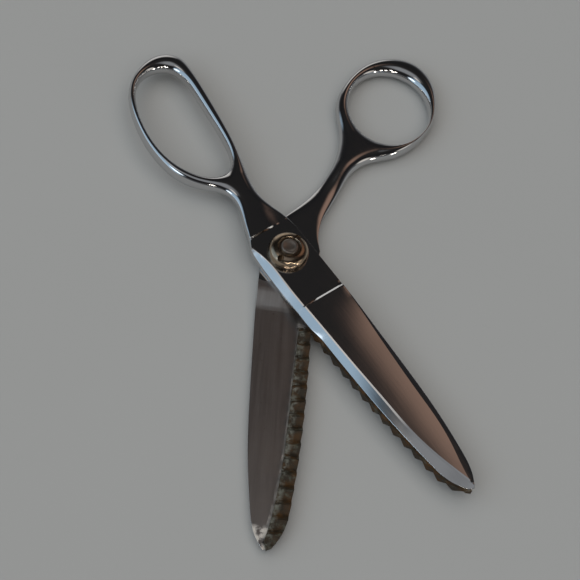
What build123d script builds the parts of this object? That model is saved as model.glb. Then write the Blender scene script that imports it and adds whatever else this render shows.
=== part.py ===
from build123d import *
from math import cos, pi, radians, sin
import os

# Large pinking shears lying on their side, open. Millimetres.
# The pivot axis is +Z through the origin, and Z = 0 is the flat underside of the lower half.
# Each half is drawn in its own blade frame: +X from the pivot to the blade's tip, +Y towards the
# back of the blade, so the teeth are on the -Y side, and +Z away from the other half, with Z = 0
# on the shear plane. The lower half is the same kind of forging turned over.

# ---- driving dimensions ----
SHEAR_Z = 5.0            # height of the shear plane, which is also the boss thickness
UPPER_ANGLE = -53.5      # direction of the upper blade in the open pose
LOWER_ANGLE = -93.5      # direction of the lower blade
FACE_GAP = 0.02          # each boss face stands this far off the shear plane
RELIEF = 1.95            # hollow of the inner face beyond the boss
BOSS_END = 13.3          # where the inner boss face ends along the blade
BOSS_SIDE = 11.1         # the upper boss reaches this far on the cutting side
LOWER_BOSS_SIDE = 12.6
BLADE_END = 112.8        # blade tip, measured from the pivot
LOWER_EXTRA = 3.0        # the lower blade is this much longer
TIP_THICKNESS = 3.5
DROP_START = -32.0       # where the shank leaves the shear plane, beyond the other half's reach
DROP_END = -48.6
HANDLE_DROP = 1.6        # how far the bows reach past the shear plane
BAND_ROUND = 0.6         # rounding of the bows' edges
SEAT_DEPTH = 0.45        # how far the tooth strip is let into the blade above the relief

PITCH = 5.6              # spacing of the teeth along the radius
TOOTH_HALF = 1.36        # ridge height above and below the middle of the teeth
UPPER_PHASE = 35.6       # radius of an upper ridge; the lower ridges lie half a pitch further
STRIP_START = 28.0       # where the strips begin along the blade
EDGE_LAND = 0.25         # upright land between the strip and the bevel

LINE_A = -12.3           # edges of the milled flat under the nut
LINE_B = 21.6
LINE_B_RAMP = 0.9        # length of the gentle step at line B
FLAT_DEPTH = 0.45

BOLT_R = 3.5
BOLT_SHOULDER = 5.45     # where the bolt steps down to its threaded end
THREAD_R = 3.2
RUNNING = 0.04           # radial clearance of a running fit
HEAD_R = 7.0
HEAD_DEPTH = 2.6
BOLT_TOP = 9.8           # end of the bolt above the shear plane
NUT_R = 7.8
NUT_SHOULDER = 6.3       # where the nut's wall turns into its dome
NUT_CROWN = 9.15
NUT_WELL_R = 4.5         # the well in the nut's crown round the bolt's end
SPANNER_R = 1.2
SPANNER_AT = 6.0
SPANNER_ANGLE = -124.0

BALL_R = 1.0
BALL_COUNT = 10
BALL_RING = 5.25         # radius of the ball circle
RACE_R = 6.6
RACE_FLOOR = 3.35
RACE_TOP = 4.35
BALL_Z = 4.97
TRACK_R = 1.03           # radius of the grooves the balls run in

FLAT_TOP = SHEAR_Z - FLAT_DEPTH
TAPER_START = LINE_B + LINE_B_RAMP
SEAT_TOP = RELIEF + SEAT_DEPTH   # height of the tooth strip's back

# ---- outlines in the blade frame ----
CUT_EDGE = [(13, -11.1), (36, -11.3), (58, -10.9), (80, -9.7), (97, -8.0), (106.5, -5.9), (112, -2.4)]
BACK_EDGE = [(112.8, 0.6), (108, 3.7), (98, 6.2), (80, 8.3), (60, 9.3), (36, 9.8), (13, 9.9)]
STRIP_EDGE = [(28, -6.9), (46, -6.0), (66, -5.2), (86, -3.8), (98, -2.2), (106, -0.6), (110, 0.5)]

BOW_OUTSIDE = [
    (0, 9.9), (-10, 9.7), (-17, 8.6), (-24, 6.8), (-31, 6.7), (-40, 9.0), (-52, 12.4), (-66, 15.1),
    (-80, 17.2), (-91, 18.4), (-98.5, 17.8), (-102.9, 13.8), (-104.3, 7.4), (-102.4, 0.4), (-98.2, -6.6),
    (-90.5, -12.5), (-80.5, -16.1), (-70, -18.0), (-60, -18.0), (-51, -16.1), (-44.5, -12.4),
    (-40, -8.2), (-36.5, -4.9), (-31.8, -3.1), (-25, -4.2), (-18, -6.9), (-13, -8.7), (-8.3, -11.1),
]
BOW_HOLE = [
    (-42.6, -1.0), (-44.8, -6.2), (-50.6, -11.0), (-58.6, -14.2), (-67.5, -15.1), (-77.5, -13.9),
    (-87.5, -10.6), (-94.6, -5.9), (-97.9, -0.2), (-97.9, 5.6), (-95.2, 10.3), (-89.5, 12.6),
    (-81, 12.5), (-70, 11.3), (-58, 9.8), (-48.4, 7.3), (-43.6, 3.6),
]
THUMB_OUTSIDE = [
    (3, 9.7), (-4, 9.3), (-11, 7.2), (-17, 3.4), (-24, -2.5), (-31, -8.1), (-38, -12.3), (-47, -16.1),
    (-56, -18.1), (-65, -18.1), (-72.5, -16.6), (-79.3, -16.3), (-86.5, -18.4), (-93.5, -22.1),
    (-100, -27.3), (-104.5, -33.8), (-106.4, -41.0), (-104.9, -49.0), (-99.8, -54.8), (-92.5, -57.8),
    (-84, -58.4), (-75, -57.0), (-66.8, -52.8), (-59.5, -46.4), (-55.2, -39.8), (-51.6, -31.4),
    (-46, -24.9), (-37, -20.3), (-27, -16.0), (-19.5, -13.0), (-14, -12.1), (-9.5, -12.2), (-5.5, -13.0),
]
RING_CENTRE = (-79.5, -38.4)
RING_HOLE = (18.4, 17.0)     # half sizes of the thumb hole

# ---- where the blade's facets lie: x, edge of the top face, edge of the cutting bevel ----
TOP_EDGE = [(13, -8.4), (30, -7.9), (50, -7.1), (70, -6.0), (85, -4.9), (96, -2.8), (104, -0.6), (113.5, 2.4)]
BACK_FACET = [(26, 9.6), (50, 7.6), (73, 6.4), (86, 5.6), (96, 3.9), (104, 1.9), (114, 0.2)]
SOFT_EDGE = 0.55             # width of the narrow facet between the top face and the bevel


def blade_top(x, extra):
    """Height of the blade's outer face: full at the boss, thinner to the tip."""
    along = max(0.0, (x - TAPER_START) / (BLADE_END + extra - TAPER_START))
    return SHEAR_Z - (SHEAR_Z - TIP_THICKNESS) * along**1.25


def stretched(points, extra):
    """The same blade edge on a blade that is longer by extra."""
    return [(x + extra * max(0.0, (x - BOSS_END) / (BLADE_END - BOSS_END)), y) for x, y in points]


def between(points, x):
    """The edge's Y at one X, straight between the two points beside it."""
    ordered = sorted(points)
    for (xa, ya), (xb, yb) in zip(ordered, ordered[1:]):
        if xa <= x <= xb:
            return ya + (yb - ya) * (x - xa) / (xb - xa)
    return ordered[0][1] if x < ordered[0][0] else ordered[-1][1]


def outline_face(outside, extra):
    """The plan of a whole half, with its bow or ring still filled in."""
    cut = stretched(CUT_EDGE, extra)
    back = stretched(BACK_EDGE, extra)
    edges = [Spline(cut), Line(cut[-1], back[0])]
    edges += in_pieces(Spline(back + outside), 12)
    edges.append(Line(outside[-1], cut[0]))
    return make_face(Wire(edges))


def in_pieces(curve, count):
    """The same curve as a chain of equal pieces, so that each wall of the half is a short face."""
    return [curve.trim(i / count, (i + 1) / count) for i in range(count)]


def bow_hole():
    """The plan of the opening in the finger bow."""
    return make_face(Wire(in_pieces(Spline(BOW_HOLE, periodic=True), 6)))


def ring_hole():
    """The plan of the thumb hole, an ellipse."""
    quarters = [EllipticalCenterArc(RING_CENTRE, *RING_HOLE, a, arc_size=90) for a in (0, 90, 180, 270)]
    return make_face(Wire(quarters))


def over_cutter(extra, milled_flat):
    """Everything above the outer face: the flat milled under the nut and the tapering blade."""
    tip = BLADE_END + extra + 5
    if milled_flat:
        line = [
            Line((LINE_A - 1, 14), (LINE_A - 0.5, SHEAR_Z)),
            Line((LINE_A - 0.5, SHEAR_Z), (LINE_A, FLAT_TOP)),
            Line((LINE_A, FLAT_TOP), (LINE_B, FLAT_TOP)),
            Line((LINE_B, FLAT_TOP), (TAPER_START, SHEAR_Z)),
        ]
    else:
        line = [Line((LINE_A - 1, 14), (TAPER_START, SHEAR_Z))]
    stations = [TAPER_START, 45, 70, 92, tip]
    top = [(x, blade_top(x, extra)) for x in stations]
    line += [Spline(top), Line(top[-1], (tip, 14)), Line((tip, 14), (LINE_A - 1, 14))]
    return across(line)


def under_cutter(extra):
    """Everything below the inner face: bow, the drop of the shank, boss face, and the hollow."""
    tip = BLADE_END + extra + 5
    line = [
        Line((tip, -14), (tip, RELIEF)),
        Line((tip, RELIEF), (BOSS_END + 1.5, RELIEF)),
        Line((BOSS_END + 1.5, RELIEF), (BOSS_END, FACE_GAP)),
        Line((BOSS_END, FACE_GAP), (DROP_START, FACE_GAP)),
        Spline((DROP_START, FACE_GAP), (-36, -0.25), (-44.5, -1.35), (DROP_END, -HANDLE_DROP)),
        Line((DROP_END, -HANDLE_DROP), (DROP_END, -14)),
        Line((DROP_END, -14), (tip, -14)),
    ]
    return across(line)


def across(line):
    """A side view's outline as a prism right across the half."""
    return Pos(0, 80, 0) * extrude(Plane.XZ * make_face(Wire(line)), 160)


def section(x, points):
    """A closed section across the blade at one X, from its (Y, Z) corners."""
    return Polyline(*[(x, y, z) for y, z in points], close=True)


def bevel_cutter(extra):
    """What is ground off the cutting side: a soft edge and one broad sloping bevel."""
    top_edge = stretched(TOP_EDGE, extra)
    cut_edge = stretched(CUT_EDGE, extra)
    wires = []
    for x, y_top in top_edge:
        z_top = blade_top(x, extra)
        y_out = between(cut_edge, x)
        soft = SOFT_EDGE * (1 + 0.6 * max(0.0, (x - 60) / 50))
        y_mid = y_top - soft
        z_mid = z_top - 0.42 * soft
        z_out = SEAT_TOP + EDGE_LAND
        slope = (z_mid - z_out) / max(1.2, y_mid - y_out)
        wires.append(section(x, [
            (y_top + 2.4, z_top + 1.0),
            (y_mid, z_mid),
            (y_out - 2.0, z_out - 2.0 * slope),
            (y_out - 6.0, z_out - 2.0 * slope),
            (y_out - 6.0, z_top + 1.0),
        ]))
    return Solid.make_loft(wires, ruled=False)


def boss_bevel_cutter(side):
    """The steeper wall beside the boss, from its corner to where the blade's bevel takes over."""
    wires = []
    for x, lean, soft in ((-9.6, 1.5, 0.3), (BOSS_END + 0.6, 2.7, SOFT_EDGE)):
        y_foot = 0.1 - side
        wires.append(section(x, [
            (y_foot + lean + 2.4, SHEAR_Z + 1.0),
            (y_foot + lean - soft, SHEAR_Z - 0.42 * soft),
            (y_foot, -0.3),
            (y_foot, -SHEAR_Z),
            (y_foot - 8.0, -SHEAR_Z),
            (y_foot - 8.0, SHEAR_Z + 1.0),
        ]))
    return Solid.make_loft(wires, ruled=True)


def back_facet_cutter(extra):
    """A sloping facet along the back of the outer face, widening towards the tip."""
    wires = []
    for x, y_in in stretched(BACK_FACET, extra):
        z_top = blade_top(x, extra)
        wires.append(section(x, [(y_in - 2, z_top + 1), (y_in + 8, z_top - 4), (y_in + 8, z_top + 1)]))
    return Solid.make_loft(wires, ruled=False)


def strip_face(extra, beyond):
    """The plan of the band along the cutting edge, widened beyond that edge when it is a cutter."""
    edge = [(STRIP_START, between(CUT_EDGE, STRIP_START))] + [p for p in CUT_EDGE if p[0] > STRIP_START]
    cut = [(x, y - beyond) for x, y in stretched(edge, extra)]
    inner = stretched(STRIP_EDGE, extra)
    tip = (inner[-1][0] + 3.1 + beyond, inner[-1][1] - 1.1 - 0.35 * beyond)
    edges = [
        Spline(cut),
        Line(cut[-1], tip),
        Line(tip, inner[-1]),
        Spline(list(reversed(inner))),
        Line(inner[0], cut[0]),
    ]
    return make_face(Wire(edges))


def slab(face):
    """A plan face as a slab as tall as the bows."""
    return Pos(0, 0, -HANDLE_DROP) * extrude(face, HANDLE_DROP + SHEAR_Z)


def rounded_handle(body):
    """Rounds the long edges of the shank and the bow, on both faces."""
    flat = body.faces().filter_by(Axis.Z)
    edges = [e for face in flat for e in face.edges() if e.center().X < DROP_START]
    return fillet(edges, BAND_ROUND)


def half(outside, hole, extra, milled_flat, boss_side):
    """One forged half in its blade frame, before the pivot is bored."""
    body = rounded_handle(slab(outline_face(outside, extra)) - slab(hole))
    body -= over_cutter(extra, milled_flat)
    body -= under_cutter(extra)
    body -= boss_bevel_cutter(boss_side)
    body -= bevel_cutter(extra)
    body -= back_facet_cutter(extra)
    body -= extrude(strip_face(extra, 2.0), SEAT_TOP)
    return body.solids().sort_by(SortBy.VOLUME)[-1]


def tooth_strip(extra, phase):
    """The strip's ridges: one zigzag turned about the pivot, cut to the strip's plan."""
    first = phase - PITCH * 3
    zigzag = []
    for i in range(20):
        zigzag.append((first + i * PITCH, 0.03 - TOOTH_HALF))
        zigzag.append((first + (i + 0.5) * PITCH, 0.03 + TOOTH_HALF))
    corners = zigzag + [(zigzag[-1][0], SEAT_TOP + 1), (zigzag[0][0], SEAT_TOP + 1)]
    profile = Plane.XZ * make_face(Polyline(*corners, close=True))
    ridges = Rot(0, 0, -40) * revolve(profile, Axis.Z, 60)
    deep = TOOTH_HALF + 1
    return ridges & Pos(0, 0, -deep) * extrude(strip_face(extra, 0.0), SEAT_TOP + deep)


def upper_place(shape):
    """From the blade frame to where the upper half lies."""
    return Pos(0, 0, SHEAR_Z) * Rot(0, 0, UPPER_ANGLE) * shape


def lower_place(shape):
    """From the blade frame to where the lower half lies, turned over."""
    return Pos(0, 0, SHEAR_Z) * Rot(0, 0, LOWER_ANGLE) * Rot(180, 0, 0) * shape


def upper_half():
    """The half with the long finger bow, bored for the bolt and sunk for the race."""
    body = half(BOW_OUTSIDE, bow_hole(), 0.0, True, BOSS_SIDE)
    body -= Cylinder(BOLT_R + RUNNING, 30)
    body -= Pos(0, 0, RACE_FLOOR + 5) * Cylinder(RACE_R + RUNNING, 10)
    return upper_place(body)


def lower_half():
    """The half with the thumb ring, countersunk for the bolt's head."""
    body = half(THUMB_OUTSIDE, ring_hole(), LOWER_EXTRA, False, LOWER_BOSS_SIDE)
    body -= Cylinder(BOLT_R, 30)
    cone_top = SHEAR_Z - HEAD_DEPTH
    body -= Pos(0, 0, (cone_top + SHEAR_Z) / 2) * Cone(BOLT_R, HEAD_R, HEAD_DEPTH)
    return lower_place(body)


def turned(points):
    """A turned piece about the pivot axis from its (R, Z) corners above the shear plane."""
    return Pos(0, 0, SHEAR_Z) * revolve(Plane.XZ * make_face(Polyline(*points, close=True)), Axis.Z, 360)


def pivot_bolt():
    """The countersunk bolt, flush with the underside and showing in the nut's crown."""
    return turned([
        (0, -SHEAR_Z), (HEAD_R, -SHEAR_Z), (BOLT_R, HEAD_DEPTH - SHEAR_Z),
        (BOLT_R, BOLT_SHOULDER), (THREAD_R, BOLT_SHOULDER), (THREAD_R, BOLT_TOP - 0.45), (THREAD_R - 0.45, BOLT_TOP),
        (THREAD_R - 1.0, BOLT_TOP), (THREAD_R - 1.3, BOLT_TOP - 0.2), (0, BOLT_TOP - 0.25),
    ])


def dome_nut():
    """The cap nut: a domed cup over the race, threaded on the bolt."""
    skirt = 4.65
    ceiling = 5.58
    inside = RACE_R + 0.15
    foot = THREAD_R + 0.9
    well = NUT_CROWN - 0.55
    under = Polyline(
        (NUT_WELL_R, NUT_CROWN), (NUT_WELL_R - 0.35, well), (THREAD_R, well),
        (THREAD_R, BOLT_SHOULDER), (foot, BOLT_SHOULDER), (foot, ceiling),
        (inside, ceiling), (inside, skirt), (NUT_R, skirt), (NUT_R, NUT_SHOULDER),
    )
    dome = ThreePointArc((NUT_R, NUT_SHOULDER), (6.75, 8.25), (NUT_WELL_R, NUT_CROWN))
    nut = revolve(Plane.XZ * make_face(Wire([*under.edges(), dome])), Axis.Z, 360)
    nut -= ball_track()
    for turn in (0.0, 180.0):
        a = radians(SPANNER_ANGLE + turn)
        nut -= Pos(SPANNER_AT * cos(a), SPANNER_AT * sin(a), NUT_CROWN) * Cylinder(SPANNER_R, 3.4)
    return Pos(0, 0, SHEAR_Z) * nut


def ball_track():
    """The groove that the balls run in, cut into the nut and the race washer."""
    return Pos(0, 0, BALL_Z) * Torus(BALL_RING, TRACK_R)


def race_washer():
    """The grooved washer sunk into the upper half."""
    ring = Cylinder(RACE_R, RACE_TOP - RACE_FLOOR) - Cylinder(BOLT_R + RUNNING, 5)
    ring = Pos(0, 0, (RACE_TOP + RACE_FLOOR) / 2) * ring - ball_track()
    return Pos(0, 0, SHEAR_Z) * ring


def ball_places():
    """Where the balls sit round the pivot."""
    for i in range(BALL_COUNT):
        a = 2 * pi * i / BALL_COUNT
        yield BALL_RING * cos(a), BALL_RING * sin(a)


def ball_cage():
    """The flat ring that keeps the balls apart."""
    ring = Cylinder(RACE_R - 0.15, 0.8) - Cylinder(THREAD_R + 0.98, 2)
    for x, y in ball_places():
        ring -= Pos(x, y, 0) * Cylinder(BALL_R + 0.02, 2)
    return Pos(0, 0, SHEAR_Z + BALL_Z) * ring


def bearing_balls():
    return Compound([Pos(x, y, SHEAR_Z + BALL_Z) * Sphere(BALL_R) for x, y in ball_places()])


PARTS = {
    "upper_half": upper_half,
    "lower_half": lower_half,
    "upper_tooth_strip": lambda: upper_place(tooth_strip(0.0, UPPER_PHASE)),
    "lower_tooth_strip": lambda: lower_place(tooth_strip(LOWER_EXTRA, UPPER_PHASE + PITCH / 2)),
    "pivot_bolt": pivot_bolt,
    "dome_nut": dome_nut,
    "race_washer": race_washer,
    "ball_cage": ball_cage,
    "bearing_balls": bearing_balls,
}

os.makedirs("parts", exist_ok=True)
for name, make in PARTS.items():
    shape = make()
    export_step(shape, f"parts/{name}.step")
    print(name, round(shape.volume, 1), len(shape.solids()))
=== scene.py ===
from math import asin, cos, pi, radians, sin

import bmesh
import bpy
import numpy as np
from mathutils import Matrix, Vector, geometry


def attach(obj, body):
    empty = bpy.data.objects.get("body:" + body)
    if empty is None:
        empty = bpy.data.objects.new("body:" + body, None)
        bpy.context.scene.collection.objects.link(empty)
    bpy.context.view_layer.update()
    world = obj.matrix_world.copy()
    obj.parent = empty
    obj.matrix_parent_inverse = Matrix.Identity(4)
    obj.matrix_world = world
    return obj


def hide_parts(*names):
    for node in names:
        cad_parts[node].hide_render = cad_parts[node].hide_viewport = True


# Large pinking shears lying open on a pale table. The CAD frame is in metres; the shapes below are
# worked out in millimetres and scaled once, when a mesh is made.
# Each half is drawn in its own blade frame: +X from the pivot to the tip, +Y to the back of the
# blade, +Z away from the other half, and Z = 0 on the shear plane. The lower half is turned over.

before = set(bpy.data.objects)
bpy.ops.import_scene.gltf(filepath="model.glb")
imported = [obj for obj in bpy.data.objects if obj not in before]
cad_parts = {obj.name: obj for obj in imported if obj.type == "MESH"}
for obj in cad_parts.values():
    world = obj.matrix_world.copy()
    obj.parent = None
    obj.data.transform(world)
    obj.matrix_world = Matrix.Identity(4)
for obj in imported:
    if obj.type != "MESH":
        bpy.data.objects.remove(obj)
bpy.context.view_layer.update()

MM = 0.001
SHEAR_Z = 5.0               # height of the shear plane, and the thickness of each boss
UPPER_ANGLE = -53.5         # direction of the upper blade
LOWER_ANGLE = -93.5         # direction of the lower blade
LOWER_EXTRA = 3.0           # the lower blade is this much longer
BLADE_END = 112.8           # blade tip, measured from the pivot
TIP_THICKNESS = 3.5
BOSS_END = 13.3             # where the boss ends along the blade
BOSS_SIDE = 11.1            # how far the boss reaches on the cutting side
BEVEL_START = -9.0          # where the boss wall turns into the bevel
FACE_GAP = 0.02             # the inner faces stand this far off the shear plane
RELIEF = 1.95               # hollow of the inner face beyond the boss
HOLLOW_RAMP = 9.0           # length over which the face sinks into that hollow
HANDLE_DROP = 1.6           # how far the bows reach past the shear plane
DROP_START = -32.0          # where the handle begins to do so
DROP_LENGTH = 16.6

# the milled flat under the nut lies between lines A and B and is stepped down at both
LINE_A = -12.3
LINE_B = 21.6
LINE_A_RAMP = 0.48
LINE_B_RAMP = 0.78
FLAT_DEPTH = 0.45
# line A dies out towards the back: where the shank starts to sink to the flat, and over what length
FADE_FROM = (-26.0, 1.0)
FADE_LENGTH = (12.0, 4.5)

PITCH = 5.6                 # spacing of the teeth along the radius
TOOTH_HALF = 1.36           # ridge height above and below the middle of the teeth
UPPER_PHASE = 35.6          # radius of an upper ridge
STRIP_START = 28.0          # where the strips begin along the blade
SEAT_TOP = 2.4              # height of the strip's back
SEAT_WALL = 0.04            # width of a side wall of the strip's seat, or of the race's pocket
SEAT_RUN_ON = 4.0           # how far the seat runs on past the strip's inner edge at the tip
SEAT_SLANT = 0.355          # and how it slants there
STRIP_LEDGE = 1.0           # how far the forging stops short of the strip's outer edge
LEDGE_RAMP = 10.0           # length over which that ledge grows

BLADES_FROM = -0.010        # in metres: the ground inner faces lie on this side of the pivot
TABLE_GAP = 0.0002          # in metres: the table is this far under the shears

# edges that turn by more than this are shown as creases
CREASE = radians(28)
WALL_CREASE = radians(35)

# plan outlines in the blade frame
CUT_EDGE = [(13, -11.1), (36, -11.3), (58, -10.9), (80, -9.7), (97, -8.0), (106.5, -5.9), (112, -2.4)]
BACK_EDGE = [(112.8, 0.6), (108, 3.7), (98, 6.2), (80, 8.3), (60, 9.3), (36, 9.8), (13, 9.9)]
STRIP_EDGE = [(28, -6.9), (46, -6.0), (66, -5.2), (86, -3.8), (98, -2.2), (106, -0.6), (110, 0.5)]
BOW_OUTSIDE = [
    (0, 9.9), (-10, 9.7), (-17, 8.6), (-24, 6.8), (-31, 6.7), (-40, 9.0), (-52, 12.4), (-66, 15.1),
    (-80, 17.2), (-91, 18.4), (-98.5, 17.8), (-102.9, 13.8), (-104.3, 7.4), (-102.4, 0.4), (-98.2, -6.6),
    (-90.5, -12.5), (-80.5, -16.1), (-70, -18.0), (-60, -18.0), (-51, -16.1), (-44.5, -12.4),
    (-40, -8.2), (-36.5, -4.9), (-31.8, -3.1), (-25, -4.2), (-18, -6.9), (-13, -8.7), (-8.3, -11.1),
]
BOW_HOLE = [
    (-42.6, -1.0), (-44.8, -6.2), (-50.6, -11.0), (-58.6, -14.2), (-67.5, -15.1), (-77.5, -13.9),
    (-87.5, -10.6), (-94.6, -5.9), (-97.9, -0.2), (-97.9, 5.6), (-95.2, 10.3), (-89.5, 12.6),
    (-81, 12.5), (-70, 11.3), (-58, 9.8), (-48.4, 7.3), (-43.6, 3.6),
]
THUMB_OUTSIDE = [
    (3, 9.7), (-4, 9.3), (-11, 7.2), (-17, 3.4), (-24, -2.5), (-31, -8.1), (-38, -12.3), (-47, -16.1),
    (-56, -18.1), (-65, -18.1), (-72.5, -16.6), (-79.3, -16.3), (-86.5, -18.4), (-93.5, -22.1),
    (-100, -27.3), (-104.5, -33.8), (-106.4, -41.0), (-104.9, -49.0), (-99.8, -54.8), (-92.5, -57.8),
    (-84, -58.4), (-75, -57.0), (-66.8, -52.8), (-59.5, -46.4), (-55.2, -39.8), (-51.6, -31.4),
    (-46, -24.9), (-37, -20.3), (-27, -16.0), (-19.5, -13.0), (-14, -12.1), (-9.5, -12.2), (-5.5, -13.0),
]
RING_CENTRE = (-79.5, -38.4)
RING_HOLE = (18.4, 17.0)    # half sizes of the thumb hole

BORE_R = 3.54               # the bolt's bore in both halves
POCKET_R = 6.64             # the ball race's pocket in the upper half
POCKET_FLOOR = 3.35
HEAD_R = 7.0                # the bolt head's countersink in the lower half
HEAD_FOOT = 2.4

# where the blade's facets begin: x along the blade, y across it
TOP_EDGE = [(-9, -10.6), (-4, -9.2), (13, -8.4), (30, -7.9), (50, -7.1), (70, -6.0), (85, -4.9), (96, -2.8),
            (104, -0.6), (113.5, 2.4)]
BACK_FACET = [(20, 9.75), (30, 9.3), (50, 7.9), (73, 6.4), (86, 5.6), (96, 3.9), (104, 1.9), (114, 0.2)]
# width and slope of the narrow facet between the outer face and the bevel
SOFT_SLOPE = 0.42
SOFT_EDGE = [(-9, 0.15), (13, 0.5), (60, 0.55), (90, 0.8), (112, 1.0)]
# height of the bevel's foot: it sinks along the boss and rises again to clear the strip
FOOT_HEIGHT = [(-9, 3.3), (-4, 2.6), (0, 2.1), (8, 1.6), (14, 1.6), (24, 2.65), (113, 2.65)]
# the blade's outer face is a little crowned towards its back, and ends in a sloped facet
CROWN = 0.004
CROWN_START = -3.0          # the crown begins here across the blade
CROWN_FULL = 25.0           # and takes this long to grow to its full height beyond line B
BACK_SLOPE = 0.3
NO_FACET = 30.0             # further back than any point of the boss
# how the edges of the forging are rounded along it: x, width, and how much of the half thickness
EDGE_WIDTH = [(-60, 4.2), (-44, 3.6), (-30, 3.6), (-20, 2.6), (-12, 1.0), (-8, 0.15)]
EDGE_OUTER = [(-56, 1.0), (-46, 1.0), (-30, 0.75), (-20, 0.5), (-12, 0.12), (-8, 0.03)]
EDGE_INNER = [(-56, 1.0), (-46, 1.0), (-34, 0.7), (-26, 0.45), (-18, 0.12), (-8, 0.02)]
HOLE_WIDTH = 4.2            # the same width, round the finger holes
MOST_WIDTH = 0.49           # no rounding is wider than this share of the metal beside it
ROUNDING_STEPS = 11
ROUNDING_POWER = 2.1        # 2 would round the edges to circles and ellipses
# spacing of the points along outlines, and of the points inside the plan
OUTLINE_STEP = 0.6
GRID_STEP = 1.7


# ---------------------------------------------------------------- curves and plan regions
def spline(points, step, closed=False):
    """Evenly spaced points along one natural cubic spline through the given points."""
    p = np.array(points, float)
    count, wrap = len(p), 6
    if closed:
        p = np.vstack([p[-wrap:], p, p[:wrap + 1]])
    t = np.concatenate([[0.0], np.cumsum(np.hypot(*np.diff(p, axis=0).T))])
    h = np.diff(t)
    n = len(p)
    system, right = np.eye(n), np.zeros((n, 2))
    for i in range(1, n - 1):
        system[i, i - 1:i + 2] = h[i - 1], 2 * (h[i - 1] + h[i]), h[i]
        right[i] = 6 * ((p[i + 1] - p[i]) / h[i] - (p[i] - p[i - 1]) / h[i - 1])
    bend = np.linalg.solve(system, right)
    first, last = (t[wrap], t[wrap + count]) if closed else (0.0, t[-1])
    u = np.linspace(first, last, int((last - first) / step) + 2)
    if closed:
        u = u[:-1]
    i = np.clip(np.searchsorted(t, u, side="right") - 1, 0, n - 2)
    a = ((t[i + 1] - u) / h[i])[:, None]
    b = 1 - a
    reach = (h[i] ** 2)[:, None] / 6
    return a * p[i] + b * p[i + 1] + ((a**3 - a) * bend[i] + (b**3 - b) * bend[i + 1]) * reach


def straight(a, b, step):
    """Points on the straight line from a up to but not including b."""
    a, b = np.array(a, float), np.array(b, float)
    count = max(1, int(np.hypot(*(b - a)) / step))
    return a + (b - a) * (np.arange(count) / count)[:, None]


def table(rows, x):
    """A value along the forging, straight between the rows of a table."""
    rows = sorted(rows)
    return np.interp(x, [r[0] for r in rows], [r[1] for r in rows])


def stretched(points, extra):
    """The same line on a blade that is longer by extra."""
    return [(x + extra * max(0.0, (x - BOSS_END) / (BLADE_END - BOSS_END)), y) for x, y in points]


def smooth(rows, extra, step=1.0):
    """A facet's edge as a smooth line of points."""
    return spline(sorted(stretched(rows, extra)), step)


def ease(t):
    t = np.clip(t, 0, 1)
    return t * t * (3 - 2 * t)


def ledge(x):
    """How far the forging stops short of the strip's outer edge."""
    return STRIP_LEDGE * ease((x - STRIP_START) / LEDGE_RAMP)


def handle_drop(x):
    """How far the handle reaches past the shear plane."""
    return HANDLE_DROP * ease((DROP_START - x) / DROP_LENGTH)


def counter_clockwise(loop):
    x, y = loop.T
    area = np.dot(x, np.roll(y, -1)) - np.dot(y, np.roll(x, -1))
    return loop if area > 0 else loop[::-1]


def inside(points, loops):
    """Which points lie inside the region that the loops bound, by the even-odd rule."""
    hit = np.zeros(len(points), bool)
    x, y = points[:, 0], points[:, 1]
    for loop in loops:
        for (xa, ya), (xb, yb) in zip(loop, np.roll(loop, -1, axis=0)):
            if ya != yb:
                crosses = ((ya > y) != (yb > y)) & (x < (xb - xa) * (y - ya) / (yb - ya) + xa)
                hit ^= crosses
    return hit


def nearest(points, targets):
    """Distance from each point to the nearest of the targets."""
    out = np.empty(len(points))
    for i in range(0, len(points), 500):
        gap = points[i:i + 500, None, :] - targets[None, :, :]
        out[i:i + 500] = np.sqrt((gap**2).sum(2).min(1))
    return out


def inward(loop):
    """The unit normal at each point of a counter-clockwise loop, pointing into the region."""
    along = np.roll(loop, -1, axis=0) - np.roll(loop, 1, axis=0)
    along /= np.hypot(*along.T)[:, None]
    return np.stack([-along[:, 1], along[:, 0]], axis=1)


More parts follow.
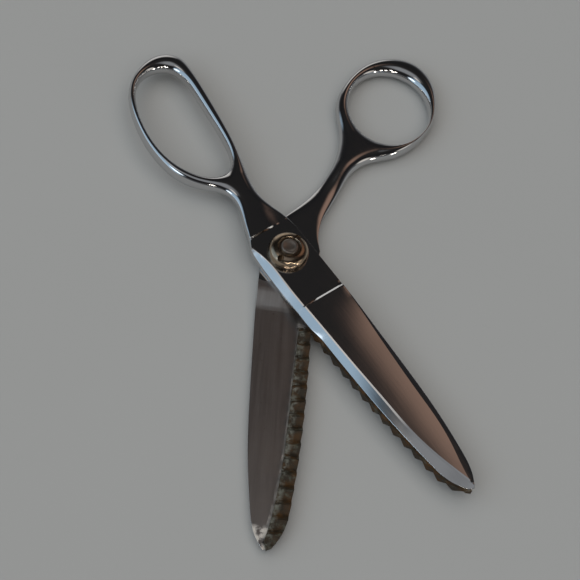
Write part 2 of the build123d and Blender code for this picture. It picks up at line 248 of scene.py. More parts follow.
# ---------------------------------------------------------------- meshes from plans
def plate(name, loops, lines, extra_points, heights, place, lowered=None):
    """A closed mesh over a plan region: an upper and a lower face and the walls between them.

    loops bound the region, lines are creases as (points, "top" | "bottom" | "both"), and heights
    gives both faces' Z at a point. lowered rounds edges off: points near them, by how much the top
    and the bottom go in at each, and by how much they go in at the points of the loops themselves.
    """
    points, edges, kinds = [], [], []

    def chain(line, closed, kind):
        start = len(points)
        points.extend(map(tuple, line))
        count = len(line)
        for i in range(count if closed else count - 1):
            edges.append((start + i, start + (i + 1) % count))
            kinds.append(kind)

    for loop in loops:
        chain(loop, True, "wall")
    for line, side in lines:
        chain(line, False, side)
    rounded_from = len(points)
    if lowered is not None:
        points.extend(map(tuple, lowered[0]))
    points.extend(map(tuple, extra_points))

    verts, out_edges, faces, from_verts, from_edges, _ = geometry.delaunay_2d_cdt(
        [Vector(p) for p in points], edges, [], 0, 1e-5, True)
    flat = np.array([tuple(v) for v in verts])
    tri = np.array(faces)
    middle = flat[tri].mean(1)
    tri = tri[inside(middle, loops)]
    top, bottom = heights(flat[:, 0], flat[:, 1])
    if lowered is not None:
        loop_count = sum(len(loop) for loop in loops)
        edge_top, edge_bottom = lowered[3], lowered[4]
        for i, sources in enumerate(from_verts):
            for s in sources:
                if s < loop_count:
                    top[i] -= edge_top[s]
                    bottom[i] += edge_bottom[s]
                    break
                if rounded_from <= s < rounded_from + len(lowered[0]):
                    top[i] -= lowered[1][s - rounded_from]
                    bottom[i] += lowered[2][s - rounded_from]
                    break
    top = np.maximum(top, bottom)

    used = np.unique(tri)
    renumber = -np.ones(len(flat), int)
    renumber[used] = np.arange(len(used))
    tri = renumber[tri]
    n = len(used)
    co = np.concatenate([
        np.column_stack([flat[used], top[used]]),
        np.column_stack([flat[used], bottom[used]]),
    ])
    sharp = set()
    for (a, b), sources in zip(out_edges, from_edges):
        a, b = renumber[a], renumber[b]
        if a < 0 or b < 0:
            continue
        for s in sources:
            kind = kinds[s] if s < len(kinds) else None
            if kind in ("top", "both"):
                sharp.add((min(a, b), max(a, b)))
            if kind in ("bottom", "both"):
                sharp.add((min(a, b) + n, max(a, b) + n))
    rim = {}
    for t in tri:
        for a, b in ((t[0], t[1]), (t[1], t[2]), (t[2], t[0])):
            if (b, a) in rim:
                del rim[(b, a)]
            else:
                rim[(a, b)] = True
    open_wall = {v for v in range(n) if co[v, 2] - co[v + n, 2] > 1e-4}
    # where the two faces meet at a rounded edge they share their points
    shut = {v for pair in rim for v in pair} - open_wall
    under = np.array([v if v in shut else v + n for v in range(n)])
    polys = [tuple(t) for t in tri] + [tuple(under[[t[0], t[2], t[1]]]) for t in tri]
    for a, b in rim:
        if a in open_wall and b in open_wall:
            polys.append((b, a, a + n, b + n))
        elif a in open_wall:
            polys.append((b, a, a + n))
        elif b in open_wall:
            polys.append((b, a, b + n))
    mesh = bpy.data.meshes.new(name)
    mesh.from_pydata([tuple(p) for p in place(co) * MM], [], [tuple(int(v) for v in p) for p in polys])
    bm = bmesh.new()
    bm.from_mesh(mesh)
    bm.verts.ensure_lookup_table()
    walls = {(min(a, b), max(a, b)) for a, b in rim}
    for e in bm.edges:
        a, b = sorted(v.index for v in e.verts)
        if (a, b) in sharp:
            e.smooth = False
        elif (a, b) in walls or (a - n, b - n) in walls:
            e.smooth = len(e.link_faces) != 2 or e.calc_face_angle(0) < WALL_CREASE
    bmesh.ops.delete(bm, geom=[v for v in bm.verts if not v.link_faces], context="VERTS")
    bmesh.ops.recalc_face_normals(bm, faces=bm.faces)
    for f in bm.faces:
        f.smooth = True
    bm.to_mesh(mesh)
    bm.free()
    obj = bpy.data.objects.new(name, mesh)
    bpy.context.scene.collection.objects.link(obj)
    return obj


def rounded_edge(loop, others, hole):
    """What rounds a loop's edge off, in the order that plate() takes it."""
    normal = inward(loop) * (-1 if hole else 1)
    x = loop[:, 0]
    wanted, outer, inner = table(EDGE_WIDTH, x), table(EDGE_OUTER, x), table(EDGE_INNER, x)
    if hole:
        wanted, outer, inner = HOLE_WIDTH, np.ones(len(x)), np.ones(len(x))
    width = np.minimum(wanted, MOST_WIDTH * nearest(loop, others))
    half_height = (SHEAR_Z + handle_drop(x)) / 2
    points, top, bottom = [], [], []
    for k in range(1, ROUNDING_STEPS + 1):
        angle = pi / 2 * k / ROUNDING_STEPS
        share = 1 - cos(angle) ** (2 / ROUNDING_POWER)
        rise = sin(angle) ** (2 / ROUNDING_POWER)
        points.append(loop + normal * (width * share)[:, None])
        top.append(half_height * outer * (1 - rise))
        bottom.append(half_height * inner * (1 - rise))
    edge_top, edge_bottom = half_height * outer, half_height * inner
    return np.vstack(points), np.concatenate(top), np.concatenate(bottom), edge_top, edge_bottom


# ---------------------------------------------------------------- the two forgings
def blade_top(x, extra):
    start = LINE_B + LINE_B_RAMP
    along = np.clip((x - start) / (BLADE_END + extra - start), 0, 1)
    return SHEAR_Z - (SHEAR_Z - TIP_THICKNESS) * along**1.25


def half_heights(extra, milled_flat):
    """Both faces of a forging as functions of the plan position."""
    top_line = smooth(TOP_EDGE, extra)
    back_line = smooth(BACK_FACET, extra)
    strip_line = smooth(STRIP_EDGE, extra)
    cut_line = spline(stretched(CUT_EDGE, extra), 0.5)
    strip_end = strip_line[-1]

    def heights(x, y):
        outer = blade_top(x, extra)
        if milled_flat:
            into = np.clip((x - LINE_A) / LINE_A_RAMP + 1, 0, 1)
            back_up = np.clip((x - LINE_B) / LINE_B_RAMP, 0, 1)
            outer = outer - FLAT_DEPTH * into * (1 - back_up)
            fade = ease((x - FADE_FROM[0]) / FADE_LENGTH[0]) * ease((y - FADE_FROM[1]) / FADE_LENGTH[1])
            outer = outer - FLAT_DEPTH * (1 - into) * fade
        y_top = np.interp(x, *top_line.T)
        soft = table(stretched(SOFT_EDGE, extra), x)
        y_mid = y_top - soft
        z_mid = outer - SOFT_SLOPE * soft
        y_cut = np.where(x > CUT_EDGE[0][0], np.interp(x, *cut_line.T), -BOSS_SIDE) + ledge(x)
        z_cut = table(stretched(FOOT_HEIGHT, extra), x)
        slope = (z_mid - z_cut) / np.maximum(0.9, y_mid - y_cut)
        soft_facet = outer + SOFT_SLOPE * np.minimum(y - y_top, 0)
        cut_side = np.where(y < y_mid, z_mid + slope * (y - y_mid), soft_facet)
        y_back = np.where(x > BACK_FACET[0][0], np.interp(x, *back_line.T), NO_FACET)
        crowned = CROWN * np.clip(np.minimum(y, y_back) - CROWN_START, 0, 20) ** 2
        crowned = crowned * ease((x - LINE_B - 2) / CROWN_FULL)
        back_side = outer - crowned - BACK_SLOPE * np.maximum(0, y - y_back)
        top = np.where(x > BEVEL_START, np.minimum(cut_side, back_side), outer)
        top = np.minimum(top, pivot_recess(x, y, milled_flat))
        hollow = RELIEF * ease((x - BOSS_END) / HOLLOW_RAMP)
        inner = np.where(x < DROP_START, -handle_drop(x), FACE_GAP + hollow)
        seat = (x > STRIP_START - 0.75 * SEAT_WALL) & (x < strip_end[0] + SEAT_RUN_ON)
        edge = np.interp(x, *strip_line.T)
        edge = np.where(x > strip_end[0], strip_end[1] - SEAT_SLANT * (x - strip_end[0]), edge)
        depth = np.clip((edge - y) / SEAT_WALL, 0, 1) * np.clip((x - STRIP_START) / SEAT_WALL + 1, 0, 1)
        inner = np.where(seat, inner + (SEAT_TOP - RELIEF) * depth, inner)
        return top, inner

    return heights


def pivot_recess(x, y, upper_half):
    """Height of the outer face over the pivot: the race's pocket, or the bolt head's countersink."""
    r = np.hypot(x, y)
    if upper_half:
        return np.where(r < POCKET_R - SEAT_WALL / 2, POCKET_FLOOR, SHEAR_Z)
    return HEAD_FOOT + (SHEAR_Z - HEAD_FOOT) * np.clip((r - BORE_R) / (HEAD_R - BORE_R), 0, 1)


def half_lines(extra, milled_flat):
    """The creases of a forging: facet edges, the milled flat's steps and the strip's seat."""
    top_line = smooth(TOP_EDGE, extra)
    soft_line = top_line - np.column_stack([
        np.zeros(len(top_line)), table(stretched(SOFT_EDGE, extra), top_line[:, 0])])
    back_line = smooth(BACK_FACET, extra)
    strip_line = smooth(STRIP_EDGE, extra)
    cut = spline(stretched(CUT_EDGE, extra), 0.5)
    tip = cut[-1][0]
    lines = [
        (top_line[top_line[:, 0] < tip + 0.3], "top"),
        (soft_line[soft_line[:, 0] < tip + 0.2], "top"),
        (back_line[(back_line[:, 0] > 26) & (back_line[:, 0] < tip)], "top"),
        (strip_line, "bottom"),
        (strip_line - np.array([0, SEAT_WALL]), "bottom"),
    ]
    if milled_flat:
        for x in (LINE_A - LINE_A_RAMP, LINE_A, LINE_B, LINE_B + LINE_B_RAMP):
            low = 0.15 - BOSS_SIDE if x > BEVEL_START else -8.2
            lines.append((straight((x, low), (x, 9.7), 1.0), "top"))
    for r in (POCKET_R, POCKET_R - SEAT_WALL) if milled_flat else (HEAD_R,):
        circle = ring_of(r, 96)
        lines.append((np.vstack([circle, circle[:1]]), "top"))
    for x in BOSS_END + HOLLOW_RAMP * np.arange(6) / 5:
        lines.append((straight((x, -10.9), (x, 9.7), 1.0), "bottom"))
    return lines


def forging(name, outside, hole, extra, milled_flat, place):
    """One half of the shears, from its outline, with its facets and rounded handle."""
    cut = spline(stretched(CUT_EDGE, extra), OUTLINE_STEP)
    cut[:, 1] += ledge(cut[:, 0])
    back = stretched(BACK_EDGE, extra)
    far = spline(back + outside, OUTLINE_STEP)
    outline = np.vstack([
        cut[:-1],
        straight(cut[-1], far[0], OUTLINE_STEP),
        far[:-1],
        straight(far[-1], cut[0], OUTLINE_STEP),
    ])
    outer_edge = rounded_edge(outline, hole, False)
    hole_edge = rounded_edge(hole, outline, True)
    lowered = [np.concatenate([a, b]) for a, b in zip(outer_edge, hole_edge)]
    bore = ring_of(BORE_R, 72)
    square_edge = np.zeros(len(bore))
    lowered[3:] = [np.concatenate([edge, square_edge]) for edge in lowered[3:]]
    low, high = outline.min(0), outline.max(0)
    gx, gy = np.meshgrid(np.arange(low[0], high[0], GRID_STEP), np.arange(low[1], high[1], GRID_STEP))
    grid = np.column_stack([gx.ravel(), gy.ravel()])
    grid = grid[inside(grid, [outline, hole, bore])]
    clear = nearest(grid, outline) > np.maximum(0.5, table(EDGE_WIDTH, grid[:, 0]) + 0.4)
    clear &= (nearest(grid, hole) > 4.5) & (nearest(grid, bore) > 0.5)
    heights = half_heights(extra, milled_flat)
    lines = half_lines(extra, milled_flat)
    return plate(name, [outline, hole, bore], lines, grid[clear], heights, place, lowered)


def tooth_strip(name, extra, phase, place):
    """The zigzag strip under the cutting edge: ridges are arcs about the pivot."""
    edge = [(STRIP_START, float(table(CUT_EDGE, STRIP_START)))] + [p for p in CUT_EDGE if p[0] > STRIP_START]
    cut = spline(stretched(edge, extra), 0.7)
    inner = spline(stretched(STRIP_EDGE, extra), 0.7)
    tip = inner[-1] + np.array([3.1, -1.1])
    loop = np.vstack([cut[:-1], straight(cut[-1], tip, 0.7), straight(tip, inner[-1], 0.7), inner[::-1][:-1],
                      straight(inner[0], cut[0], 0.7)])
    flat_crest = 0.12

    def heights(x, y):
        r = np.hypot(x, y)
        swing = np.abs(((r - phase) / PITCH + 0.5) % 1.0 - 0.5) * 2
        low = 0.03 - TOOTH_HALF + 2 * TOOTH_HALF * swing
        low = np.clip(low, 0.03 - TOOTH_HALF + flat_crest, 0.03 + TOOTH_HALF - flat_crest * 0.6)
        return np.full(len(x), SEAT_TOP), low

    lines = []
    share = flat_crest / (4 * TOOTH_HALF)
    for i in range(-3, 18):
        for r in (phase + (i - share) * PITCH, phase + (i + share) * PITCH,
                  phase + (i + 0.5 - share * 0.6) * PITCH, phase + (i + 0.5 + share * 0.6) * PITCH):
            if 27 < r < 118 + extra:
                angles = np.radians(np.arange(-26, 3, 36 / r))
                arc = r * np.column_stack([np.cos(angles), np.sin(angles)])
                arc = arc[nearest(arc, loop) < 6]
                if len(arc) > 1:
                    lines.append((arc, "bottom"))
    return plate(name, [loop], lines, np.empty((0, 2)), heights, place)


def upper_place(co):
    a = radians(UPPER_ANGLE)
    x, y, z = co.T
    return np.column_stack([x * cos(a) - y * sin(a), x * sin(a) + y * cos(a), z + SHEAR_Z])


def lower_place(co):
    a = radians(LOWER_ANGLE)
    x, y, z = co.T[0], -co.T[1], -co.T[2]
    return np.column_stack([x * cos(a) - y * sin(a), x * sin(a) + y * cos(a), z + SHEAR_Z])


# ---------------------------------------------------------------- the pivot
def ring_of(radius, count, centre=(0.0, 0.0)):
    a = 2 * pi * np.arange(count) / count
    return np.column_stack([centre[0] + radius * np.cos(a), centre[1] + radius * np.sin(a)])


def lathe(name, profile, segments=128):
    """A turned piece about the pivot axis, from its (radius, height) points, closed at the axis."""
    bm = bmesh.new()
    rings = []
    for r, z in profile:
        if r < 1e-6:
            rings.append([bm.verts.new((0, 0, z * MM))])
        else:
            rings.append([bm.verts.new((x * MM, y * MM, z * MM)) for x, y in ring_of(r, segments)])
    for one, two in zip(rings, rings[1:]):
        for i in range(segments):
            j = (i + 1) % segments
            if len(one) == 1:
                bm.faces.new((one[0], two[i], two[j]))
            elif len(two) == 1:
                bm.faces.new((one[i], two[0], one[j]))
            else:
                bm.faces.new((one[i], two[i], two[j], one[j]))
    if len(rings[0]) > 1:
        for i in range(segments):
            j = (i + 1) % segments
            bm.faces.new((rings[-1][i], rings[0][i], rings[0][j], rings[-1][j]))
    bmesh.ops.recalc_face_normals(bm, faces=bm.faces)
    for f in bm.faces:
        f.smooth = True
    for e in bm.edges:
        e.smooth = e.calc_face_angle(0) < CREASE
    mesh = bpy.data.meshes.new(name)
    bm.to_mesh(mesh)
    bm.free()
    obj = bpy.data.objects.new(name, mesh)
    bpy.context.scene.collection.objects.link(obj)
    return obj


def arc_points(a, mid, b, count):
    """Points on a smooth curve from a to b that passes through mid."""
    t = np.linspace(0, 1, count)[:, None]
    a, mid, b = (np.array(p, float) for p in (a, mid, b))
    control = 2 * mid - (a + b) / 2
    return [tuple(p) for p in a * (1 - t)**2 + 2 * control * t * (1 - t) + b * t**2]


def dome_nut():
    """The domed nut with its well, skirt groove, ball track and two spanner holes."""
    z = SHEAR_Z
    dome = arc_points((7.74, z + 6.30), (6.80, z + 8.22), (4.75, z + 9.12), 16)
    ceiling = 5.58
    ball_z, ball_ring, track_r = 4.97, 5.25, 1.03
    start = asin((ceiling - ball_z) / track_r)
    track = [(ball_ring + track_r * cos(t), z + ball_z + track_r * sin(t))
             for t in np.linspace(start, pi - start, 13)]
    profile = [
        (3.25, z + 8.58), (4.10, z + 8.58), (4.22, z + 8.66), (4.42, z + 9.02), (4.55, z + 9.12),
        *dome[::-1],
        (7.80, z + 6.12), (7.80, z + 5.95), (7.70, z + 5.86), (7.52, z + 5.82), (7.50, z + 5.66),
        (7.52, z + 5.50), (7.70, z + 5.46), (7.80, z + 5.38), (7.80, z + 4.75), (7.72, z + 4.66),
        (6.78, z + 4.66), (6.78, z + ceiling), *track, (4.10, z + ceiling),
        (4.10, z + 5.46), (3.25, z + 5.46),
    ]
    nut = lathe("nut_shell", profile)
    for turn in (0.0, pi):
        a = radians(-124.0) + turn
        cutter = drill("spanner_drill", (6.0 * cos(a), 6.0 * sin(a)), 1.2, z + 7.45, z + 10.5)
        cut_with(nut, cutter)
    return nut


def drill(name, centre, radius, low, high):
    """A plain round cutter, used once and thrown away."""
    bm = bmesh.new()
    bmesh.ops.create_cone(bm, cap_ends=True, segments=48, radius1=radius * MM, radius2=radius * MM,
                          depth=(high - low) * MM)
    bmesh.ops.translate(bm, verts=bm.verts, vec=(centre[0] * MM, centre[1] * MM, (low + high) / 2 * MM))
    mesh = bpy.data.meshes.new(name)
    bm.to_mesh(mesh)
    bm.free()
    obj = bpy.data.objects.new(name, mesh)
    bpy.context.scene.collection.objects.link(obj)
    return obj


def cut_with(obj, cutter):
    """Takes the cutter out of obj and keeps the shading clean round the hole."""
    change = obj.modifiers.new("cut", "BOOLEAN")
    change.operation, change.solver, change.object = "DIFFERENCE", "EXACT", cutter
    deps = bpy.context.evaluated_depsgraph_get()
    made = bpy.data.meshes.new_from_object(obj.evaluated_get(deps))
    obj.modifiers.clear()
    obj.data = made
    bpy.data.objects.remove(cutter)
    bm = bmesh.new()
    bm.from_mesh(made)
    for f in bm.faces:
        f.smooth = True
    for e in bm.edges:
        e.smooth = e.calc_face_angle(0) < CREASE
    bm.to_mesh(made)
    bm.free()


def bolt_piece():
    """The pivot bolt: flush countersunk head below, rounded button end in the nut's well."""
    z = SHEAR_Z
    return lathe("pivot_bolt_steel", [
        (0, z + 9.46), (1.2, z + 9.50), (1.9, z + 9.60), (2.2, z + 9.72), (2.5, z + 9.79), (2.8, z + 9.78),
        (3.05, z + 9.66), (3.18, z + 9.45), (3.2, z + 9.2), (3.2, z + 5.45), (3.5, z + 5.45), (3.5, 2.6),
        (6.9, 0.1), (6.95, 0.02), (6.85, 0.0), (5.2, 0.0), (5.05, 0.14), (4.9, 0.0), (0, 0.0),
    ])


# ---------------------------------------------------------------- materials
class Nodes:
    """A short way to write a material's node tree."""

    def __init__(self, name):
        self.material = bpy.data.materials.new(name)
        self.material.use_nodes = True
        self.tree = self.material.node_tree
        self.tree.nodes.clear()
        self.out = self.tree.nodes.new("ShaderNodeOutputMaterial")
        self.surface = self.tree.nodes.new("ShaderNodeBsdfPrincipled")
        self.link(self.surface.outputs[0], self.out.inputs["Surface"])
        self.coords = self.tree.nodes.new("ShaderNodeTexCoord").outputs["Object"]

    def link(self, a, b):
        self.tree.links.new(a, b)

    def put(self, socket, value):
        if isinstance(value, bpy.types.NodeSocket):
            self.link(value, socket)
        else:
            socket.default_value = value

    def mapped(self, angle, scale):
        """Object coordinates turned to run along a blade, and scaled."""
        turn = self.tree.nodes.new("ShaderNodeMapping")
        turn.vector_type = "POINT"
        turn.inputs["Rotation"].default_value = (0, 0, radians(angle))
        self.link(self.coords, turn.inputs["Vector"])
        size = self.tree.nodes.new("ShaderNodeVectorMath")
        size.operation = "MULTIPLY"
        size.inputs[1].default_value = scale
        self.link(turn.outputs[0], size.inputs[0])
        return size.outputs[0]

    def past_strip(self, angle, mirrored):
        """How far a point lies past the strip's inner edge, and how far along the blade, in metres."""
        split = self.tree.nodes.new("ShaderNodeSeparateXYZ")
        self.link(self.mapped(angle, (1, 1, 1)), split.inputs[0])
        along = split.outputs["X"]
        across = self.math("MULTIPLY", split.outputs["Y"], -1.0 if mirrored else 1.0)
        edge = self.tree.nodes.new("ShaderNodeValToRGB")
        self.link(self.math("DIVIDE", along, 0.12), edge.inputs[0])
        stops = edge.color_ramp.elements
        rows = [(x / 120, (y + 10) / 20) for x, y in STRIP_EDGE]
        for stop, (place, value) in zip(stops, (rows[0], rows[-1])):
            stop.position, stop.color = place, (value, value, value, 1)
        for place, value in rows[1:-1]:
            stops.new(place).color = (value, value, value, 1)
        edge_y = self.math("MULTIPLY_ADD", edge.outputs[0], 0.02, -0.01)
        return self.math("SUBTRACT", across, edge_y), along

    def noise(self, vector, scale, detail=4.0, rough=0.55):
        n = self.tree.nodes.new("ShaderNodeTexNoise")
        self.put(n.inputs["Vector"], vector)
        n.inputs["Scale"].default_value = scale
        n.inputs["Detail"].default_value = detail
        n.inputs["Roughness"].default_value = rough
        return n.outputs["Fac"]

    def ramp(self, value, low, high, to_low=0.0, to_high=1.0):
        """value stretched from low..high to to_low..to_high, and held there."""
        n = self.tree.nodes.new("ShaderNodeMapRange")
        n.clamp = True
        self.put(n.inputs["Value"], value)
        for key, v in zip(("From Min", "From Max", "To Min", "To Max"), (low, high, to_low, to_high)):
            n.inputs[key].default_value = v
        return n.outputs[0]

    def mix(self, share, a, b):
        n = self.tree.nodes.new("ShaderNodeMix")
        n.data_type = "RGBA"
        self.put(n.inputs["Factor"], share)
        self.put(n.inputs["A"], a)
        self.put(n.inputs["B"], b)
        return n.outputs["Result"]

    def math(self, kind, a, b=0.0, c=0.0):
        n = self.tree.nodes.new("ShaderNodeMath")
        n.operation = kind
        self.put(n.inputs[0], a)
        self.put(n.inputs[1], b)
        self.put(n.inputs[2], c)
        return n.outputs[0]

    def bump(self, height, strength, distance, normal=None):
        n = self.tree.nodes.new("ShaderNodeBump")
        n.inputs["Strength"].default_value = strength
        n.inputs["Distance"].default_value = distance
        self.put(n.inputs["Height"], height)
        if normal is not None:
            self.link(normal, n.inputs["Normal"])
        return n.outputs[0]

    def finish(self, **values):
        for key, value in values.items():
            self.put(self.surface.inputs[key.replace("_", " ")], value)
        return self.material


def chrome():
    """Polished plating: almost clean, with faint handling smears and fine scratches."""
    m = Nodes("polished_chrome")
    smear = m.ramp(m.noise(m.coords, 55, 5), 0.42, 0.72)
    fine = m.noise(m.mapped(-UPPER_ANGLE, (90, 900, 300)), 1.0, 3)
    rough = m.math("ADD", m.ramp(smear, 0, 1, 0.055, 0.11), m.ramp(fine, 0.5, 0.8, 0.0, 0.03))
    spot = m.ramp(m.noise(m.coords, 420, 3), 0.74, 0.80)
    colour = m.mix(spot, (0.60, 0.60, 0.605, 1), (0.33, 0.27, 0.22, 1))
    waves = m.bump(m.noise(m.coords, 30, 2), 0.10, 0.0006)
    grain = m.bump(fine, 0.035, 0.0002, waves)
    return m.finish(Base_Color=colour, Metallic=1.0, Roughness=rough, Normal=grain)


def ground_steel(name, angle, mirrored):
    """The ground inner faces: dull steel with grain along the blade, stains, specks, a worn band beside the
    strip and a painted highlight that lightens the tip.
    """
    m = Nodes(name)
    past, along = m.past_strip(angle, mirrored)
    wear_and_highlight_noise = m.noise(m.coords, 300, 4, 0.6)
    beside_strip = m.ramp(past, 0.0002, 0.0006, 1.0, 0.0)
    line = m.math("MULTIPLY", beside_strip, m.ramp(wear_and_highlight_noise, 0.40, 0.65, 0.05, 0.4))
    # painted highlight: the tip mask lightens the tip, where its bright facets catch the light; the band
    # beside the strip is wear
    tip = m.math("MULTIPLY", m.ramp(along, 0.1065, 0.1085), m.ramp(wear_and_highlight_noise, 0.40, 0.52))
    wear_and_tip_highlight = m.math("MAXIMUM", line, tip)
    grain = m.noise(m.mapped(angle, (60, 2600, 600)), 1.0, 4, 0.7)
    streak = m.noise(m.mapped(angle, (14, 420, 90)), 1.0, 4, 0.6)
    stain = m.ramp(m.noise(m.coords, 42, 5, 0.6), 0.40, 0.66)
    colour = m.mix(m.ramp(streak, 0.3, 0.7), (0.40, 0.375, 0.36, 1), (0.56, 0.54, 0.52, 1))
    colour = m.mix(m.math("MULTIPLY", stain, 0.45), colour, (0.30, 0.235, 0.19, 1))
    speck = m.ramp(m.noise(m.coords, 360, 4, 0.7), 0.66, 0.74)
    colour = m.mix(m.math("MULTIPLY", speck, 0.6), colour, (0.16, 0.07, 0.03, 1))
    rough = m.math("ADD", m.ramp(grain, 0.2, 0.8, 0.24, 0.40), m.math("MULTIPLY", stain, 0.08))
    # painted highlight: the colour grows lighter towards the tip
    colour = m.mix(m.ramp(along, 0.06, 0.11, 0.0, 0.5), colour, (0.70, 0.67, 0.63, 1))
    # lighter colour for the worn band beside the strip and for the painted highlight at the tip
    colour = m.mix(wear_and_tip_highlight, colour, (0.62, 0.58, 0.52, 1))
    metal = m.ramp(wear_and_tip_highlight, 0, 1, 1.0, 0.35)
    relief = m.bump(grain, 0.16, 0.00012)
    return m.finish(Base_Color=colour, Metallic=metal, Roughness=rough, Normal=relief)


def tooth_steel(name, angle, mirrored):
    """The tooth strips: dark hardened steel, mottled with old oil, verdigris and brown rust."""
    m = Nodes(name)
    past, _ = m.past_strip(angle, mirrored)
    inner_side = m.ramp(past, -0.0030, -0.0012)
    mottle = m.math("MULTIPLY", inner_side, m.ramp(m.noise(m.coords, 520, 5, 0.65), 0.44, 0.60))
    rust = m.ramp(m.noise(m.coords, 210, 6, 0.65), 0.44, 0.62)
    green = m.ramp(m.noise(m.mapped(20, (1, 1, 1)), 330, 5, 0.6), 0.56, 0.68)
    colour = m.mix(rust, (0.026, 0.020, 0.013, 1), (0.058, 0.029, 0.010, 1))
    colour = m.mix(m.math("MULTIPLY", green, 0.6), colour, (0.095, 0.105, 0.080, 1))
    colour = m.mix(m.math("MULTIPLY", mottle, 0.8), colour, (0.17, 0.175, 0.15, 1))
    pits = m.noise(m.coords, 1500, 4, 0.7)
    relief = m.bump(pits, 0.45, 0.0002)
    rough = m.ramp(rust, 0, 1, 0.46, 0.68)
    metal = m.ramp(rust, 0, 1, 0.30, 0.05)
    return m.finish(
        Base_Color=colour, Metallic=metal, Roughness=rough, Normal=relief, Specular_IOR_Level=0.3)


def bronze(name, colour_a, colour_b, low, high):
    """Polished bronze-coloured plating, worn and a little tarnished."""
    m = Nodes(name)
    tarnish = m.ramp(m.noise(m.coords, 260, 5, 0.6), 0.38, 0.68)
    colour = m.mix(tarnish, colour_a, colour_b)
    rough = m.ramp(m.noise(m.coords, 700, 4), 0.3, 0.75, low, high)
    relief = m.bump(m.noise(m.coords, 900, 3), 0.04, 0.0001)
    return m.finish(Base_Color=colour, Metallic=1.0, Roughness=rough, Normal=relief)


def table_top():
    """The pale table: a smooth, even sheet with the slightest cloudiness."""
    m = Nodes("pale_table")
    cloud = m.noise(m.coords, 5, 3)
    colour = m.mix(cloud, (0.35, 0.35, 0.34, 1), (0.37, 0.37, 0.36, 1))
    return m.finish(Base_Color=colour, Roughness=0.6, Metallic=0.0, Specular_IOR_Level=0.0)


def finish_half(obj, inner_steel, upper_half):
    """Polished plating all over, and ground steel on the blade's inner face."""
    obj.data.materials.append(chrome_finish)
    obj.data.materials.append(inner_steel)
    reach = SEAT_TOP + 0.1
    low = (SHEAR_Z if upper_half else SHEAR_Z - reach) * MM
    high = (SHEAR_Z + reach if upper_half else SHEAR_Z) * MM
    for f in obj.data.polygons:
        facing = f.normal.z < -0.5 if upper_half else f.normal.z > 0.5
        if facing and low - 1e-6 <= f.center.z <= high + 1e-6 and f.center.y < BLADES_FROM:
            f.material_index = 1


# ---------------------------------------------------------------- the shears
bow_hole = counter_clockwise(spline(BOW_HOLE, OUTLINE_STEP, closed=True))
turns = 2 * pi * np.arange(200) / 200
ring_hole = np.column_stack([
    RING_CENTRE[0] + RING_HOLE[0] * np.cos(turns), RING_CENTRE[1] + RING_HOLE[1] * np.sin(turns)])

upper = forging("upper_forging", BOW_OUTSIDE, bow_hole, 0.0, True, upper_place)
lower = forging("lower_forging", THUMB_OUTSIDE, ring_hole, LOWER_EXTRA, False, lower_place)
upper_teeth = tooth_strip("upper_teeth", 0.0, UPPER_PHASE, upper_place)
lower_teeth = tooth_strip("lower_teeth", LOWER_EXTRA, UPPER_PHASE + PITCH / 2, lower_place)
nut = dome_nut()
bolt = bolt_piece()

chrome_finish = chrome()
steel_upper = ground_steel("ground_steel_upper", -UPPER_ANGLE, False)
steel_lower = ground_steel("ground_steel_lower", -LOWER_ANGLE, True)
teeth_finish_upper = tooth_steel("tooth_steel_upper", -UPPER_ANGLE, False)
teeth_finish_lower = tooth_steel("tooth_steel_lower", -LOWER_ANGLE, True)
nut_finish = bronze("nut_bronze", (0.44, 0.345, 0.25, 1), (0.33, 0.25, 0.18, 1), 0.16, 0.25)
bolt_finish = bronze("bolt_steel", (0.44, 0.39, 0.34, 1), (0.33, 0.29, 0.25, 1), 0.36, 0.48)
race_finish = bronze("race_steel", (0.55, 0.55, 0.56, 1), (0.45, 0.45, 0.46, 1), 0.18, 0.30)
cage_finish = bronze("cage_brass", (0.72, 0.56, 0.28, 1), (0.55, 0.42, 0.20, 1), 0.20, 0.35)


finish_half(upper, steel_upper, True)
finish_half(lower, steel_lower, False)
for obj, finish in (
    (upper_teeth, teeth_finish_upper),
    (lower_teeth, teeth_finish_lower),
    (nut, nut_finish),
    (bolt, bolt_finish),
):
    obj.data.materials.clear()
    obj.data.materials.append(finish)
for node, finish in (
    ("race_washer", race_finish),
    ("bearing_balls", race_finish),
    ("ball_cage", cage_finish),
):
    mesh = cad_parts[node].data
    mesh.materials.clear()
    mesh.materials.append(finish)

for obj, body, node, slot in (
    (upper, "upper", "upper_half", "chrome_forging"),
    (upper_teeth, "upper", "upper_tooth_strip", "tooth_steel"),
    (lower, "lower", "lower_half", "chrome_forging"),
    (lower_teeth, "lower", "lower_tooth_strip", "tooth_steel"),
    (nut, "lower", "dome_nut", "nut_bronze"),
    (bolt, "lower", "pivot_bolt", "bolt_steel"),
):
    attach(obj, body)
    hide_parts(node)


# ---------------------------------------------------------------- table, light and camera
# the room's shade by the sine of the elevation, from the horizon to straight overhead
ROOM_SHADES = [
    (0.0, (0.30, 0.31, 0.32)), (0.12, (0.20, 0.205, 0.21)), (0.30, (0.065, 0.065, 0.068)),
    (0.50, (0.020, 0.020, 0.021)), (0.75, (0.015, 0.015, 0.016)), (1.0, (0.03, 0.028, 0.027)),
]
# soft bright areas: azimuth, elevation, where full and where faded out (degrees), colour
ROOM_GLOWS = [
    (190, 22, 22, 42, (0.42, 0.58, 0.73)),
    (215, 84, 9, 27, (0.27, 0.28, 0.295)),
    (218, 30, 7, 12, (1.7, 1.85, 2.0)),
    (41, 49, 1, 19.5, (0.32, 0.20, 0.148)),
    (180, 65, 3, 10, (0.62, 0.57, 0.52)),
    (100, 13, 8, 24, (0.62, 0.60, 0.57)),
    (333, 21, 5, 16, (0.75, 0.70, 0.64)),
]
# small lamps behind the viewpoint: azimuth, elevation, size, power
LAMPS = [
    (266, 35, 0.20, 1.4), (275, 28, 0.18, 1.2), (283, 42, 0.15, 0.9),
    (294, 30, 0.16, 1.0), (305, 24, 0.15, 0.9), (318, 4, 0.18, 1.6),
]
LAMP_COLOUR = (1.0, 0.93, 0.84)


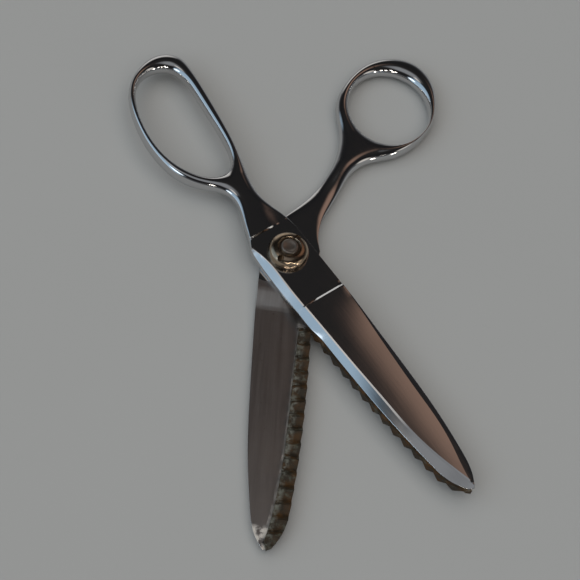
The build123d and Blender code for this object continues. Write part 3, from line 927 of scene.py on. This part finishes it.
def floor():
    mesh = bpy.data.meshes.new("table_top")
    s, z = 3.0, -TABLE_GAP
    mesh.from_pydata([(-s, -s, z), (s, -s, z), (s, s, z), (-s, s, z)], [], [(0, 1, 2, 3)])
    obj = bpy.data.objects.new("table_top", mesh)
    bpy.context.scene.collection.objects.link(obj)
    mesh.materials.append(table_top())


def panel(name, direction, distance, size, power, colour, target=(0.0, 0.0, 0.01)):
    """A rectangular light in a direction from the shears, facing them."""
    data = bpy.data.lights.new(name, "AREA")
    data.shape = "RECTANGLE"
    data.size, data.size_y = size
    data.energy, data.color = power, colour
    obj = bpy.data.objects.new(name, data)
    bpy.context.scene.collection.objects.link(obj)
    d = Vector(direction).normalized()
    obj.location = Vector(target) + d * distance
    obj.rotation_mode = "QUATERNION"
    obj.rotation_quaternion = d.to_track_quat("Z", "Y")
    return obj


def room():
    """A dim room: dark overhead, paler at the horizon, with soft bright areas on some sides."""
    world = bpy.data.worlds.new("room")
    bpy.context.scene.world = world
    world.use_nodes = True
    tree = world.node_tree
    tree.nodes.clear()

    def node(kind):
        return tree.nodes.new(kind)

    out = node("ShaderNodeOutputWorld")
    back = node("ShaderNodeBackground")
    ramp = node("ShaderNodeValToRGB")
    split = node("ShaderNodeSeparateXYZ")
    where = node("ShaderNodeTexCoord")
    tree.links.new(where.outputs["Generated"], split.inputs[0])
    tree.links.new(split.outputs["Z"], ramp.inputs[0])
    stops = ramp.color_ramp.elements
    stops[0].position, stops[0].color = 0.0, (*ROOM_SHADES[0][1], 1)
    stops[1].position, stops[1].color = 1.0, (*ROOM_SHADES[-1][1], 1)
    for position, colour in ROOM_SHADES[1:-1]:
        stops.new(position).color = (*colour, 1)
    total = ramp.outputs[0]
    for azimuth, elevation, full, faded, colour in ROOM_GLOWS:
        a, e = radians(azimuth), radians(elevation)
        dot = node("ShaderNodeVectorMath")
        dot.operation = "DOT_PRODUCT"
        dot.inputs[1].default_value = (cos(e) * cos(a), cos(e) * sin(a), sin(e))
        tree.links.new(where.outputs["Generated"], dot.inputs[0])
        fade = node("ShaderNodeMapRange")
        fade.interpolation_type = "SMOOTHSTEP"
        fade.inputs["From Min"].default_value = cos(radians(faded))
        fade.inputs["From Max"].default_value = cos(radians(full))
        tree.links.new(dot.outputs["Value"], fade.inputs["Value"])
        add = node("ShaderNodeMix")
        add.data_type, add.blend_type = "RGBA", "ADD"
        add.clamp_result = False
        tree.links.new(fade.outputs[0], add.inputs["Factor"])
        tree.links.new(total, add.inputs["A"])
        add.inputs["B"].default_value = (*colour, 1)
        total = add.outputs["Result"]
    tree.links.new(total, back.inputs[0])
    tree.links.new(back.outputs[0], out.inputs[0])


def camera():
    """The viewpoint: above and in front, turned a little, with a long lens."""
    data = bpy.data.cameras.new("camera")
    data.sensor_width, data.lens = 36.0, 85.96
    data.clip_start, data.clip_end = 0.01, 20
    obj = bpy.data.objects.new("camera", data)
    bpy.context.scene.collection.objects.link(obj)
    right = Vector((0.98757, 0.0, 0.15724))
    look = Vector((0.13674, 0.49371, -0.85881))
    up = right.cross(look)
    turn = Matrix((right, up, -look)).transposed()
    obj.matrix_world = Matrix.Translation(Vector((-70.05, -272.11, 454.75)) * MM) @ turn.to_4x4()
    bpy.context.scene.camera = obj


floor()
room()
camera()
soft = panel("overhead_soft", (-0.15, -0.1, 1.0), 2.4, (6.0, 6.0), 108, (1.0, 0.995, 0.985))
soft.visible_glossy = False
for i, (azimuth, elevation, size, power) in enumerate(LAMPS):
    a, e = radians(azimuth), radians(elevation)
    towards = (cos(e) * cos(a), cos(e) * sin(a), sin(e))
    # a lamp only shows as a highlight in the metal; the overhead light does the lighting
    lamp = panel(f"lamp_{i}", towards, 1.8, (size, size), power, LAMP_COLOUR)
    lamp.visible_diffuse = False
bpy.context.scene.view_settings.view_transform = "Standard"
